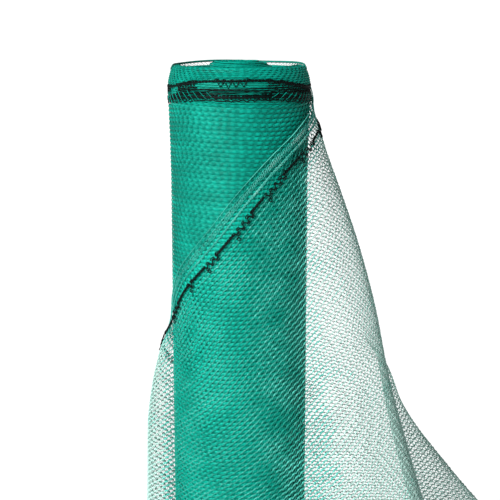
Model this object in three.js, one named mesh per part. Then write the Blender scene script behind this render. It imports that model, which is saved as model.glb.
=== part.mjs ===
// Roll of knitted windbreak netting, standing on its end, with a loose end draped round it.
// Millimetres, +Z up. The origin is on the roll's axis, on the surface that it stands on.
// Angles are in degrees about the axis: 0 is the right side, -90 the front, -180 the left.

import * as THREE from 'three';

// Driving dimensions
const NET_WIDTH = 500; // height of the standing roll
const ROLL_RADIUS = 54.5;
const TURN_STEP = 1.2; // how far one turn of net stands out from the turn under it
const LIFT_OFF_ANGLE = 112; // where the outermost turn leaves the roll
const LIFT_OFF_RAMP = 8; // degrees over which that step fades
const WIDEST_UP = 480; // height where the outer turns stand out furthest
const SHEET_THICKNESS = 1.6;
const PIECE_GAP = 0.3; // clearance between pieces that touch
const BRAID_SEAT = 0.5; // clearance of the braid on the loose end, whose facets bend two ways
const EDGE_STRIP = 15; // plain net between the net's edge and its black braid
const BRAID_WIDTH = 6.5;
const BRAID_THICKNESS = 1.2;

// Colours of the two yarns
const NET_COLOUR = 0x169a84;
const BRAID_COLOUR = 0x14211f;

// Mesh steps
const ROLL_STEPS = 56;
const SHEET_ROWS = 24;
const BRAID_ROWS = 3;
const ROW_CROWDING = 1.35; // rows lie closer together towards the upper edge
const PROBE_STEP = 0.5; // millimetres and degrees over which the sheet's slopes are measured
const SLANT_STEP = 2; // degrees over which the slant of the upper edge is measured

// The roll's outline, from the rim of its foot up its side and in over its top. `out` is the
// radius as a difference from ROLL_RADIUS, and `up` is the height.
const FOOT_RIM = { out: -1.5, up: 0 };
const SIDE_OUTLINE = [
  { out: 0, up: 2 },
  { out: 0, up: 150 },
  { out: 0, up: 300 },
  { out: 0, up: 410 },
  { out: 0.5, up: 440 },
  { out: 1.3, up: 465 },
  { out: 1.7, up: 480 },
  { out: 1.6, up: 487 },
  { out: 0.8, up: 491 },
  { out: -0.2, up: 494.5 },
  { out: -1.6, up: 497.5 },
  { out: -3.6, up: 499.4 },
];
const END_OUTLINE = [
  { out: -6.2, up: 500 },
  { out: -10.5, up: 499.3 },
  { out: -17, up: 498 },
  { out: -25, up: 497.6 },
  { out: -29.5, up: 498.4 },
  { out: -31.5, up: 500.4 },
  { out: -34, up: 502 },
  { out: -39, up: 502.5 },
  { out: -47, up: 501.8 },
];
const TOP_MIDDLE = 501;
// The spiral's step fades out to the foot, and to this share of itself over the top, where the
// wound end is uneven instead.
const SPIRAL_FADE = { footFrom: 2, footTo: 20, endFrom: 491, endTo: 498, endShare: 0.4 };
const END_WAVE = { height: 0.7, waves: 2, twist: 3 };

// The black braid of the two outermost turns: its middle at the front, and how far it
// droops at the roll's sides.
const BRAID_TURNS = [
  { name: 'edge_braid_turn_1', up: 490, droop: 8 },
  { name: 'edge_braid_turn_2', up: 479.8, droop: 5 },
];
const BRAID_WAVE = { height: 0.6, waves: 5, phase: 20 };
const BRAID_CLEAR_FROM = 430; // height from which the loose end passes outside those braids
const BRAID_CLEAR_TO = 462;

// The upper edge of the loose end, as it comes off the roll behind its right side, crosses the
// front on a slant and goes down round the left to the back.
const UPPER_EDGE = [
  { angle: 105, up: 495 },
  { angle: 28, up: 495 },
  { angle: 22, up: 492 },
  { angle: 15, up: 484 },
  { angle: 0, up: 471 },
  { angle: -14, up: 464.5 },
  { angle: -28, up: 458 },
  { angle: -45, up: 446 },
  { angle: -70, up: 425 },
  { angle: -90, up: 404 },
  { angle: -117, up: 371 },
  { angle: -135, up: 352 },
  { angle: -155, up: 332 },
  { angle: -180, up: 300 },
  { angle: -205, up: 272 },
  { angle: -235, up: 246 },
];
// The loose end peels off the roll along a slanting line, from the angle `top` at its upper edge
// to the angle `foot` at the height `lowerUp` and below, and lifts clear over `ramp` degrees.
const PEEL = { top: 28, foot: 105, lowerUp: 180, ramp: 30 };

// Stand-off of the loose end from the roll, for each fold and height. `back` is where it leaves
// the roll, `train` and `flare` are its two folds on the right, `valley` is between them,
// `front` lies on the roll, `bulge` is on the left, and `end` is the cut end.
const FOLD_ANGLES = {
  back: 105, rear: 80, hip: 55, fall: 36, train: 22.6, valley: 11, flare: -2, side: -20,
  turn: -42, rest: -65, front: -90, swell: -120, rise: -148, bulge: -175, round: -200,
  tail: -220, end: -235,
};
const FOLD_NAMES = Object.keys(FOLD_ANGLES);
const STAND_OFF = [
  { up: 0, back: 4, rear: 32, hip: 104, fall: 212, train: 277, valley: 152, flare: 160, side: 110,
    turn: 48, rest: 18, front: 10, swell: 12, rise: 20, bulge: 33, round: 40, tail: 32, end: 22 },
  { up: 60, back: 2, rear: 22, hip: 76, fall: 160, train: 213, valley: 118, flare: 127, side: 87,
    turn: 36, rest: 11, front: 4, swell: 6, rise: 13, bulge: 26, round: 30, tail: 23, end: 14 },
  { up: 130, back: 0, rear: 16, hip: 55, fall: 113, train: 151, valley: 92, flare: 100, side: 69,
    turn: 28, rest: 7, front: 1.5, swell: 2.5, rise: 10, bulge: 22.5, round: 24, tail: 19, end: 11 },
  { up: 200, back: 0, rear: 12, hip: 40, fall: 74, train: 99, valley: 74, flare: 79.5, side: 56,
    turn: 23, rest: 5, front: 0.5, swell: 1.5, rise: 9, bulge: 21.5, round: 22, tail: 16, end: 9 },
  { up: 235, back: 0, rear: 10, hip: 34, fall: 60, train: 84, valley: 67, flare: 70, side: 50,
    turn: 20, rest: 4.5, front: 0, swell: 0.5, rise: 6, bulge: 17.5, round: 17, tail: 12, end: 7 },
  { up: 260, back: 0, rear: 9, hip: 28, fall: 48, train: 64, valley: 63, flare: 64.5, side: 46.5,
    turn: 18.5, rest: 4, front: 0, swell: 0, rise: 3, bulge: 12, round: 10, tail: 7, end: 4 },
  { up: 300, back: 0, rear: 6, hip: 21, fall: 37, train: 50, valley: 54, flare: 56.5, side: 41,
    turn: 16, rest: 3.3, front: 0, swell: 0, rise: 0, bulge: 0.8, round: 1, tail: 1, end: 1 },
  { up: 350, back: 0, rear: 3, hip: 12, fall: 23, train: 33, valley: 40, flare: 43, side: 31,
    turn: 12, rest: 2, front: 0, swell: 0, rise: 0, bulge: 0, round: 0, tail: 0, end: 0 },
  { up: 400, back: 0, rear: 0, hip: 4, fall: 11, train: 18, valley: 23, flare: 26, side: 18.5,
    turn: 7, rest: 1, front: 0, swell: 0, rise: 0, bulge: 0, round: 0, tail: 0, end: 0 },
  { up: 440, back: 0, rear: 0, hip: 0.5, fall: 3, train: 6, valley: 9, flare: 11, side: 8,
    turn: 2.5, rest: 0, front: 0, swell: 0, rise: 0, bulge: 0, round: 0, tail: 0, end: 0 },
  { up: 470, back: 0, rear: 0, hip: 0, fall: 0, train: 0, valley: 0.3, flare: 0.6, side: 0.4,
    turn: 0, rest: 0, front: 0, swell: 0, rise: 0, bulge: 0, round: 0, tail: 0, end: 0 },
  { up: 500, back: 0, rear: 0, hip: 0, fall: 0, train: 0, valley: 0, flare: 0, side: 0,
    turn: 0, rest: 0, front: 0, swell: 0, rise: 0, bulge: 0, round: 0, tail: 0, end: 0 },
];
// Small ripples of the lower hem, where the loose end hangs free
const RIPPLE = { height: 3.5, waves: 11, phase: 40, fade: 120, freeFrom: 40 };

// Columns of the loose end between these folds, closest together round the two on the right
const COLUMN_STRETCHES = [
  { from: FOLD_ANGLES.back, to: FOLD_ANGLES.hip, steps: 9 },
  { from: FOLD_ANGLES.hip, to: FOLD_ANGLES.turn, steps: 34 },
  { from: FOLD_ANGLES.turn, to: FOLD_ANGLES.end, steps: 30 },
];

const radians = THREE.MathUtils.degToRad;

// A smooth curve through a table's rows that never overshoots them.
function smoothCurve(at, values) {
  const last = at.length - 1;
  const rise = values.slice(1).map((value, i) => (value - values[i]) / (at[i + 1] - at[i]));
  const slope = values.map((value, i) => {
    if (i === 0) return rise[0];
    if (i === last) return rise[last - 1];
    const steepness = rise[i - 1] * rise[i];
    return steepness > 0 ? (2 * steepness) / (rise[i - 1] + rise[i]) : 0;
  });
  return (x) => {
    const clamped = THREE.MathUtils.clamp(x, at[0], at[last]);
    let i = 0;
    while (i < last - 1 && clamped > at[i + 1]) i += 1;
    const width = at[i + 1] - at[i];
    const t = (clamped - at[i]) / width;
    const fromLeft = (1 + 2 * t) * (1 - t) ** 2 * values[i] + t * (1 - t) ** 2 * width * slope[i];
    const fromRight = t * t * (3 - 2 * t) * values[i + 1] + t * t * (t - 1) * width * slope[i + 1];
    return fromLeft + fromRight;
  };
}

// The tables run down in angle, so they are reversed for the curves.
const upperEdge = smoothCurve(
  UPPER_EDGE.map((row) => row.angle).reverse(),
  UPPER_EDGE.map((row) => row.up).reverse(),
);
const foldCurves = FOLD_NAMES.map((name) =>
  smoothCurve(STAND_OFF.map((row) => row.up), STAND_OFF.map((row) => row[name])),
);
const foldAngles = FOLD_NAMES.map((name) => FOLD_ANGLES[name]).reverse();
const bodyCurve = smoothCurve(
  SIDE_OUTLINE.map((row) => row.up),
  SIDE_OUTLINE.map((row) => row.out),
);

function polar(angle, radius, up) {
  return new THREE.Vector3(
    radius * Math.cos(radians(angle)),
    radius * Math.sin(radians(angle)),
    up,
  );
}

// How far the wound spiral stands out at this angle: half a step before the outermost turn
// lifts off, and half a step in after it.
function spiralStep(angle) {
  const past = THREE.MathUtils.euclideanModulo(angle - LIFT_OFF_ANGLE, 360);
  const winding = past / 360 - 0.5;
  const ramp = THREE.MathUtils.smoothstep(past, 360 - LIFT_OFF_RAMP, 360);
  return TURN_STEP * (winding - ramp);
}

// Radius of the roll's own surface
function rollRadius(angle, up) {
  return ROLL_RADIUS + bodyCurve(up) + spiralStep(angle);
}

// Angle at which the loose end leaves the roll, at a share of its height below its upper edge
function peelAngle(share) {
  const up = upperEdge(PEEL.foot) * (1 - share);
  const down = 1 - THREE.MathUtils.smoothstep(up, PEEL.lowerUp, upperEdge(PEEL.foot));
  return THREE.MathUtils.lerp(PEEL.top, PEEL.foot, down);
}

// Middle surface of the loose end. `angle` goes round the roll, `up` is the height.
function sheetPoint(angle, up) {
  const acrossFolds = smoothCurve(foldAngles, foldCurves.map((curve) => curve(up)).reverse());
  const passBraids =
    THREE.MathUtils.smoothstep(up, BRAID_CLEAR_FROM, BRAID_CLEAR_TO) *
    (BRAID_THICKNESS + PIECE_GAP);
  const peeled = peelAngle(1 - up / upperEdge(angle)) - angle;
  const lifted = acrossFolds(angle) * THREE.MathUtils.smoothstep(peeled, 0, PEEL.ramp);
  const ripple =
    RIPPLE.height * (1 + Math.sin(radians(RIPPLE.waves * angle + RIPPLE.phase))) *
    Math.exp(-up / RIPPLE.fade) * THREE.MathUtils.smoothstep(lifted, 0, RIPPLE.freeFrom);
  const contact = TURN_STEP / 2 + PIECE_GAP + SHEET_THICKNESS / 2;
  const underneath = ROLL_RADIUS + bodyCurve(Math.min(up, WIDEST_UP));
  const radius = underneath + contact + passBraids + lifted + ripple;
  return polar(angle, radius, up);
}

// Outward normal of the loose end's middle surface
function sheetNormal(angle, up) {
  const low = Math.max(up - PROBE_STEP, 0);
  const along = sheetPoint(angle + PROBE_STEP, up).sub(sheetPoint(angle - PROBE_STEP, up));
  const upward = sheetPoint(angle, low + 2 * PROBE_STEP).sub(sheetPoint(angle, low));
  return along.cross(upward).normalize();
}

// Closed solid between two surfaces given as grids of points, rows by columns.
// Seen from the outer side, columns run to the left and rows run down.
function slabGeometry(outer, inner) {
  const rows = outer.length;
  const columns = outer[0].length;
  const positions = [...outer.flat(), ...inner.flat()].flatMap((p) => [p.x, p.y, p.z]);
  const out = (row, column) => row * columns + column;
  const into = (row, column) => rows * columns + row * columns + column;
  const index = [];
  const quad = (a, b, c, d) => index.push(a, b, c, a, c, d);
  for (let row = 0; row < rows - 1; row += 1) {
    for (let column = 0; column < columns - 1; column += 1) {
      const next = column + 1;
      const below = row + 1;
      quad(out(row, column), out(row, next), out(below, next), out(below, column));
      quad(into(row, column), into(below, column), into(below, next), into(row, next));
    }
  }
  for (let column = 0; column < columns - 1; column += 1) {
    const next = column + 1;
    const foot = rows - 1;
    quad(out(0, next), out(0, column), into(0, column), into(0, next));
    quad(out(foot, column), out(foot, next), into(foot, next), into(foot, column));
  }
  for (let row = 0; row < rows - 1; row += 1) {
    const below = row + 1;
    const far = columns - 1;
    quad(out(row, 0), out(below, 0), into(below, 0), into(row, 0));
    quad(out(below, far), out(row, far), into(row, far), into(below, far));
  }
  return indexedGeometry(positions, index);
}

function indexedGeometry(positions, index) {
  const geometry = new THREE.BufferGeometry();
  geometry.setAttribute('position', new THREE.Float32BufferAttribute(positions, 3));
  geometry.setIndex(index);
  geometry.computeVertexNormals();
  return geometry;
}

// Solid of rings stacked from the foot to the top, closed by a point at each end.
function stackedRings(rings, footPoint, topPoint) {
  const steps = rings[0].length;
  const positions = [...rings.flat(), footPoint, topPoint].flatMap((p) => [p.x, p.y, p.z]);
  const foot = rings.length * steps;
  const top = foot + 1;
  const lastRing = (rings.length - 1) * steps;
  const index = [];
  for (let step = 0; step < steps; step += 1) {
    const next = (step + 1) % steps;
    index.push(foot, next, step);
    index.push(top, lastRing + step, lastRing + next);
    for (let ring = 0; ring < rings.length - 1; ring += 1) {
      const low = ring * steps;
      const high = low + steps;
      index.push(low + step, low + next, high + next);
      index.push(low + step, high + next, high + step);
    }
  }
  return indexedGeometry(positions, index);
}

// Ring with a rectangular section that follows the roll, for a turn of the braid.
function bandGeometry(sectionAt) {
  const positions = [];
  const index = [];
  for (let step = 0; step < ROLL_STEPS; step += 1) {
    const corners = sectionAt((360 * step) / ROLL_STEPS);
    corners.forEach((p) => positions.push(p.x, p.y, p.z));
    const here = step * corners.length;
    const there = ((step + 1) % ROLL_STEPS) * corners.length;
    for (let i = 0; i < corners.length; i += 1) {
      const j = (i + 1) % corners.length;
      index.push(here + i, there + i, there + j);
      index.push(here + i, there + j, here + j);
    }
  }
  return indexedGeometry(positions, index);
}

function netMaterial() {
  return new THREE.MeshStandardMaterial({ color: NET_COLOUR, roughness: 0.55, metalness: 0 });
}

function braidMaterial() {
  return new THREE.MeshStandardMaterial({ color: BRAID_COLOUR, roughness: 0.6, metalness: 0 });
}

function namedMesh(name, geometry, material) {
  const mesh = new THREE.Mesh(geometry, material);
  mesh.name = name;
  return mesh;
}

// The wound body
function makeRoll() {
  const { footFrom, footTo, endFrom, endTo, endShare } = SPIRAL_FADE;
  const rings = [FOOT_RIM, ...SIDE_OUTLINE, ...END_OUTLINE].map(({ out, up }) => {
    const offFoot = THREE.MathUtils.smoothstep(up, footFrom, footTo);
    const onEnd = THREE.MathUtils.smoothstep(up, endFrom, endTo);
    const spiralShare = offFoot * THREE.MathUtils.lerp(1, endShare, onEnd);
    return Array.from({ length: ROLL_STEPS }, (_, step) => {
      const angle = (360 * step) / ROLL_STEPS;
      const radius = ROLL_RADIUS + out + spiralStep(angle) * spiralShare;
      const turned = radians(END_WAVE.waves * angle + END_WAVE.twist * radius);
      return polar(angle, radius, up + END_WAVE.height * onEnd * Math.sin(turned));
    });
  });
  const foot = new THREE.Vector3(0, 0, 0);
  const top = new THREE.Vector3(0, 0, TOP_MIDDLE);
  return namedMesh('net_roll', stackedRings(rings, foot, top), netMaterial());
}

// One black turn of braid round the top of the roll
function makeBraidTurn({ name, up, droop }) {
  const section = (angle) => {
    const sag = droop * Math.cos(radians(angle)) ** 2;
    const wave = BRAID_WAVE.height * Math.sin(radians(BRAID_WAVE.waves * angle + BRAID_WAVE.phase));
    const middle = up - sag + wave;
    const high = middle + BRAID_WIDTH / 2;
    const low = middle - BRAID_WIDTH / 2;
    const inner = (height) => rollRadius(angle, height) + PIECE_GAP;
    return [
      polar(angle, inner(low), low),
      polar(angle, inner(low) + BRAID_THICKNESS, low),
      polar(angle, inner(middle) + BRAID_THICKNESS, middle),
      polar(angle, inner(high) + BRAID_THICKNESS, high),
      polar(angle, inner(high), high),
      polar(angle, inner(middle), middle),
    ];
  };
  return namedMesh(name, bandGeometry(section), braidMaterial());
}

// Shares of the way round from where the loose end leaves the roll to its cut end, one for each
// column.
function columnShares() {
  const wayRound = FOLD_ANGLES.back - FOLD_ANGLES.end;
  const angles = COLUMN_STRETCHES.flatMap(({ from, to, steps }) =>
    Array.from({ length: steps }, (_, i) => THREE.MathUtils.lerp(from, to, i / steps)),
  );
  return [...angles, FOLD_ANGLES.end].map((angle) => (FOLD_ANGLES.back - angle) / wayRound);
}

// Two faces of a strip of the loose end. `peelShare` says how far below the upper edge a row
// starts, and `heightAt` the height of a row at an angle.
function stripFaces(rows, peelShare, heightAt, nearOffset, farOffset) {
  const columns = columnShares();
  const grid = (offset) =>
    Array.from({ length: rows }, (_, row) => {
      const down = row / (rows - 1);
      const start = peelAngle(peelShare(down));
      return columns.map((share) => {
        const angle = THREE.MathUtils.lerp(start, FOLD_ANGLES.end, share);
        const up = heightAt(angle, down);
        return sheetPoint(angle, up).addScaledVector(sheetNormal(angle, up), offset);
      });
    });
  return { outer: grid(farOffset), inner: grid(nearOffset) };
}

// The loose end, from its slanting upper edge down to the floor
function makeLooseNet() {
  const half = SHEET_THICKNESS / 2;
  const shareDown = (down) => down ** ROW_CROWDING;
  const heightAt = (angle, down) => upperEdge(angle) * (1 - shareDown(down));
  const { outer, inner } = stripFaces(SHEET_ROWS, shareDown, heightAt, -half, half);
  // The hem stands on the floor.
  const hemOuter = outer[SHEET_ROWS - 1];
  const hemInner = inner[SHEET_ROWS - 1];
  hemOuter.forEach((point, column) => {
    const lowest = Math.min(point.z, hemInner[column].z);
    point.z -= lowest;
    hemInner[column].z -= lowest;
  });
  return namedMesh('loose_net', slabGeometry(outer, inner), netMaterial());
}

// The black braid along the loose end, below a strip of plain net
function makeLooseBraid() {
  const slantAt = (angle) => {
    const rise = upperEdge(angle + SLANT_STEP) - upperEdge(angle - SLANT_STEP);
    return Math.hypot(1, rise / (2 * radians(SLANT_STEP) * ROLL_RADIUS));
  };
  const dropOf = (down) => EDGE_STRIP + BRAID_WIDTH * (down - 0.5);
  const heightAt = (angle, down) => upperEdge(angle) - dropOf(down) * slantAt(angle);
  const shareDown = (down) => dropOf(down) / NET_WIDTH;
  const face = SHEET_THICKNESS / 2 + BRAID_SEAT;
  const far = face + BRAID_THICKNESS;
  const { outer, inner } = stripFaces(BRAID_ROWS, shareDown, heightAt, face, far);
  return namedMesh('edge_braid_loose', slabGeometry(outer, inner), braidMaterial());
}

const nettingRoll = new THREE.Group();
nettingRoll.add(makeRoll());
BRAID_TURNS.forEach((turn) => nettingRoll.add(makeBraidTurn(turn)));
nettingRoll.add(makeLooseNet());
nettingRoll.add(makeLooseBraid());

export default nettingRoll;
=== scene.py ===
"""Looks of a standing roll of knitted windbreak netting with a loose end draped round it.

Sizes are in millimetres until a mesh is made. Angles are in degrees about the roll's axis: 0 is
the right side, -90 the front and -180 the left. Rows of the net are its wales, which run round
the roll, and stitches follow one another along a wale. A tint makes a yarn lighter or darker.
"""

import math

import bpy
import numpy as np
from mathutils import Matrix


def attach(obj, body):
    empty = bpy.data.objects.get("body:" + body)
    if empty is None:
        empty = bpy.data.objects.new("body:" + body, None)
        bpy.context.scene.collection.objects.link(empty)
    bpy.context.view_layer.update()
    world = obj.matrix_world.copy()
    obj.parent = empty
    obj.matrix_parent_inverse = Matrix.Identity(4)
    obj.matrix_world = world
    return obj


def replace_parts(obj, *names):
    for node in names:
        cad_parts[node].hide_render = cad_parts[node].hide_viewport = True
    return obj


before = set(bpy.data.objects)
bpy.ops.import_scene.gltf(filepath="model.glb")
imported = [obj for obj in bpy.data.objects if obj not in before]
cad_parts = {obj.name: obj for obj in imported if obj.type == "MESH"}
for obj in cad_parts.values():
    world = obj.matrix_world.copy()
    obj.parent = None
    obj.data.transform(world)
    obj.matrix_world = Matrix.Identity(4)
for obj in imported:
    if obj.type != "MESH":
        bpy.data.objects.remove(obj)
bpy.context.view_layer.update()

MM = 0.001
rng = np.random.default_rng(11)

# Driving dimensions, as in the solids
ROLL_RADIUS = 54.5
TURN_STEP = 1.2
LIFT_OFF_ANGLE = 112
LIFT_OFF_RAMP = 8
WIDEST_UP = 480
PIECE_GAP = 0.3
BRAID_THICKNESS = 1.2
BRAID_CLEAR = (430, 462)  # heights over which the loose end moves out to pass the braid

# The net: rows lie a wale apart, and inlaid yarns zigzag between them.
WALE_PITCH = 3.45
STITCH = 2.93
# Each yarn's (width, depth). A wale is full at its loops and thin between them. Over two stitches
# it leans slowly to one side, then drops back behind itself, as a knitted chain does.
ROLL_YARN = {"loop": (2.75, 0.75), "neck": (2.45, 0.6), "lean": 1.0, "lift": 0.12}
LOOSE_YARN = {
    "loop": (1.75, 1.2), "neck": (0.3, 0.4), "core": (0.37, 0.37), "inlay": (0.27, 0.42),
    "lean": -0.9, "lift": 0.15,
}
LEAN_STEPS = np.array([-1, -0.35, 0.35, 1])
LIFT_STEPS = np.array([-1, 1, 1, -1])
# Painted light and shade on each half stitch: lighter where the wale rises, darker where it drops
# back.
LIFT_LIGHT_AND_SHADE = np.array([-0.12, 0.12, 0.12, -0.2])

# Scale of the loose end's yarns: where it hangs fullest low down, thinner high up and behind the
# right-hand fold, and on the roll flattened and thinnest where it rests left of the front.
FULLNESS = {
    "on_roll": 0.95, "free": 0.82, "low": 1.3, "lifted": (2.0, 14.0), "heights": (120, 280),
    "behind": 0.79, "fold": (2, 22), "resting": 0.65,
}
FLATTENED = 0.65
CORE_ON_ROLL = 0.8  # added to the scale of the core yarns where they rest on the roll
LOOSE_CONTACT = 1.0  # from the roll's outline to the middle of the net that lies on it
# Angles of a rise and a fall: where the loose end rests on the roll, and where it is in front.
RESTING = [(-175, -155), (-100, -65)]
IN_FRONT = [(-162, -145), (-50, -25)]
# Painted shade in front of the roll and where the net rests on it; painted light beside it.
IN_FRONT_PAINTED_SHADE = -0.12
RESTING_PAINTED_SHADE = -0.05
HANGING_PAINTED_LIGHT = 0.6

# The roll's outline as (out from ROLL_RADIUS, up): its side, then in over its end.
FOOT_RIM = (-1.5, 0)
SIDE_OUTLINE = [
    (0, 2), (0, 150), (0, 300), (0, 410), (0.5, 440), (1.3, 465), (1.7, 480), (1.6, 487),
    (0.8, 491), (-0.2, 494.5), (-1.6, 497.5), (-3.6, 499.4),
]
END_OUTLINE = [
    (-6.2, 500), (-10.5, 499.3), (-17, 498), (-25, 497.6), (-29.5, 498.4), (-31.5, 500.4),
    (-34, 502), (-39, 502.5), (-47, 501.8),
]
TOP_MIDDLE = 501

# The loose end: (angle, height) of its upper edge, where it peels off the roll, and the ripples
# along its foot.
UPPER_EDGE = [
    (-235, 246), (-205, 272), (-180, 300), (-155, 332), (-135, 352), (-117, 371), (-90, 404),
    (-70, 425), (-45, 446), (-28, 458), (-14, 464.5), (0, 471), (15, 484), (22, 492), (28, 495),
    (105, 495),
]
PEEL = {"top": 28, "foot": 105, "lower_up": 180, "ramp": 30}
RIPPLE = {"height": 3.5, "waves": 11, "phase": 40, "fade": 120, "free_from": 40}

# Stand-off of the loose end from the roll: a row for each height, a column for each fold angle,
# from its cut end at the back, round the left and the front, to where it leaves the roll.
FOLD_ANGLES = [
    -235, -220, -200, -175, -148, -120, -90, -65, -42, -20, -2, 11, 22.6, 36, 55, 80, 105,
]
STAND_OFF = {
    0: [22, 32, 40, 33, 20, 12, 10, 18, 48, 110, 160, 152, 277, 212, 104, 32, 4],
    60: [14, 23, 30, 26, 13, 6, 4, 11, 36, 87, 127, 118, 213, 160, 76, 22, 2],
    130: [11, 19, 24, 22.5, 10, 2.5, 1.5, 7, 28, 69, 100, 92, 151, 113, 55, 16, 0],
    200: [9, 16, 22, 21.5, 9, 1.5, 0.5, 5, 23, 56, 79.5, 74, 99, 74, 40, 12, 0],
    235: [7, 12, 17, 17.5, 6, 0.5, 0, 4.5, 20, 50, 70, 67, 84, 60, 34, 10, 0],
    260: [4, 7, 10, 12, 3, 0, 0, 4, 18.5, 46.5, 64.5, 63, 64, 48, 28, 9, 0],
    300: [1, 1, 1, 0.8, 0, 0, 0, 3.3, 16, 41, 56.5, 54, 50, 37, 21, 6, 0],
    350: [0, 0, 0, 0, 0, 0, 0, 2, 12, 31, 43, 40, 33, 23, 12, 3, 0],
    400: [0, 0, 0, 0, 0, 0, 0, 1, 7, 18.5, 26, 23, 18, 11, 4, 0, 0],
    440: [0, 0, 0, 0, 0, 0, 0, 0, 2.5, 8, 11, 9, 6, 3, 0.5, 0, 0],
    470: [0, 0, 0, 0, 0, 0, 0, 0, 0, 0.4, 0.6, 0.3, 0, 0, 0, 0, 0],
    500: [0, 0, 0, 0, 0, 0, 0, 0, 0, 0, 0, 0, 0, 0, 0, 0, 0],
}


def smooth_step(x, low, high):
    """0 up to the low end, 1 from the high end on, and a smooth rise between."""
    t = np.clip((x - low) / (high - low), 0, 1)
    return t * t * (3 - 2 * t)


def between(x, ramps):
    """1 between two ramps, the first up and the second down, and 0 outside them."""
    rising, falling = ramps
    return smooth_step(x, *rising) * (1 - smooth_step(x, *falling))


def blend(start, end, share):
    """Value at a share of the way from start to end."""
    return start + (end - start) * share


def spread(scale, count=None):
    """Random differences of about this size: one, or as many as the count."""
    return scale * rng.standard_normal(count)


def unit(vectors):
    return vectors / np.linalg.norm(vectors, axis=-1, keepdims=True)


def curve_through(at, values, x):
    """Smooth curve through a table's values, one or a column for each x, without overshoot."""
    at = np.asarray(at, float)
    values = np.asarray(values, float).reshape(len(at), -1)
    x = np.clip(x, at[0], at[-1])
    spans = np.diff(at)
    rise = np.diff(values, axis=0) / spans[:, None]
    product = rise[:-1] * rise[1:]
    turning = product <= 0
    total = np.where(turning, 1, rise[:-1] + rise[1:])
    slope = np.concatenate([rise[:1], np.where(turning, 0, 2 * product / total), rise[-1:]])
    cell = np.searchsorted(at[1:-1], x)
    column = np.arange(x.size) % values.shape[1]
    span = spans[cell]
    t = (x - at[cell]) / span
    left = (1 + 2 * t) * values[cell, column] + t * span * slope[cell, column]
    right = (3 - 2 * t) * values[cell + 1, column] + (t - 1) * span * slope[cell + 1, column]
    return (1 - t) ** 2 * left + t * t * right


def running_length(points):
    """Length along a line of points, at each of them."""
    steps = np.linalg.norm(np.diff(points, axis=0), axis=1)
    return np.concatenate([[0], np.cumsum(steps)])


def along_line(length, lengths, line):
    """Points of a line at these lengths, where its own points lie at the running lengths."""
    return np.stack([np.interp(length, lengths, column) for column in line.T], axis=-1)


def polar(angle, radius, up):
    """Points at these angles round the roll's axis."""
    turned = np.radians(angle)
    return np.stack([radius * np.cos(turned), radius * np.sin(turned), up + 0 * turned], axis=-1)


def slow_waves(angle, waves, row=1):
    """Sum of waves, each (height, number round the roll, turn in degrees from row to row)."""
    return sum(
        height * np.sin(np.radians(number * angle + turn * row)) for height, number, turn in waves)


def upper_edge(angle):
    angles, ups = zip(*UPPER_EDGE)
    return curve_through(angles, ups, angle)


def body_curve(up):
    """How far the roll's side stands out from ROLL_RADIUS."""
    outs, ups = zip(*SIDE_OUTLINE)
    return curve_through(ups, outs, up)


def spiral_step(angle):
    """How far the wound spiral stands out: most just before the outermost turn lifts off."""
    past = np.mod(angle - LIFT_OFF_ANGLE, 360)
    return TURN_STEP * (past / 360 - 0.5 - smooth_step(past, 360 - LIFT_OFF_RAMP, 360))


def peel_angle(share):
    """Angle where the loose end leaves the roll, at a share of its height below its edge."""
    edge_up = UPPER_EDGE[-1][1]
    down = 1 - smooth_step(edge_up * (1 - share), PEEL["lower_up"], edge_up)
    return blend(PEEL["top"], PEEL["foot"], down)


def stand_off(angle, up):
    """How far the loose end's folds stand off the roll."""
    folds = [curve_through(list(STAND_OFF), column, up) for column in zip(*STAND_OFF.values())]
    return curve_through(FOLD_ANGLES, np.stack(folds), angle)


def lift_off(angle, up):
    """How far the loose end has been drawn off the roll."""
    peeled = peel_angle(1 - up / upper_edge(angle)) - angle
    return stand_off(angle, up) * smooth_step(peeled, 0, PEEL["ramp"])


def hanging(angle, up):
    """0 where the loose end lies on the roll, 1 where it hangs free."""
    return smooth_step(lift_off(angle, np.maximum(up, 0)), *FULLNESS["lifted"])


def resting(angle, up):
    """1 where the loose end lies on the roll's front, left of its middle, and 0 elsewhere."""
    return between(angle, RESTING) * (1 - hanging(angle, up))


def fullness(angle, up):
    free = blend(FULLNESS["low"], FULLNESS["free"], smooth_step(up, *FULLNESS["heights"]))
    free = free * blend(1, FULLNESS["behind"], smooth_step(angle, *FULLNESS["fold"]))
    on_roll = blend(FULLNESS["on_roll"], FULLNESS["resting"], resting(angle, up))
    return blend(on_roll, free, hanging(angle, up))


def loose_painted_light(angle, up):
    """Painted light: the loose yarns are lighter beside the roll, where light passes through."""
    beside = hanging(angle, up) * (1 - between(angle, IN_FRONT))
    return blend(IN_FRONT_PAINTED_SHADE, HANGING_PAINTED_LIGHT, beside) + RESTING_PAINTED_SHADE * resting(angle, up)


def sheet_points(angle, up):
    """Middle surface of the loose end."""
    up = np.maximum(up, 0)
    lifted = lift_off(angle, up)
    ripple = RIPPLE["height"] * (1 + np.sin(np.radians(RIPPLE["waves"] * angle + RIPPLE["phase"])))
    ripple = ripple * np.exp(-up / RIPPLE["fade"]) * smooth_step(lifted, 0, RIPPLE["free_from"])
    contact = spiral_step(angle) + LOOSE_CONTACT
    pass_braids = smooth_step(up, *BRAID_CLEAR) * (BRAID_THICKNESS + PIECE_GAP)
    under = ROLL_RADIUS + body_curve(np.minimum(up, WIDEST_UP))
    return polar(angle, under + contact + pass_braids + lifted + ripple, up)


def sheet_normals(angle, up):
    """Directions square to the loose end, away from the roll."""
    step = 0.5
    low = np.maximum(up - step, 0)
    along = sheet_points(angle + step, up) - sheet_points(angle - step, up)
    upward = sheet_points(angle, low + 2 * step) - sheet_points(angle, low)
    return unit(np.cross(along, upward))


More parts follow.
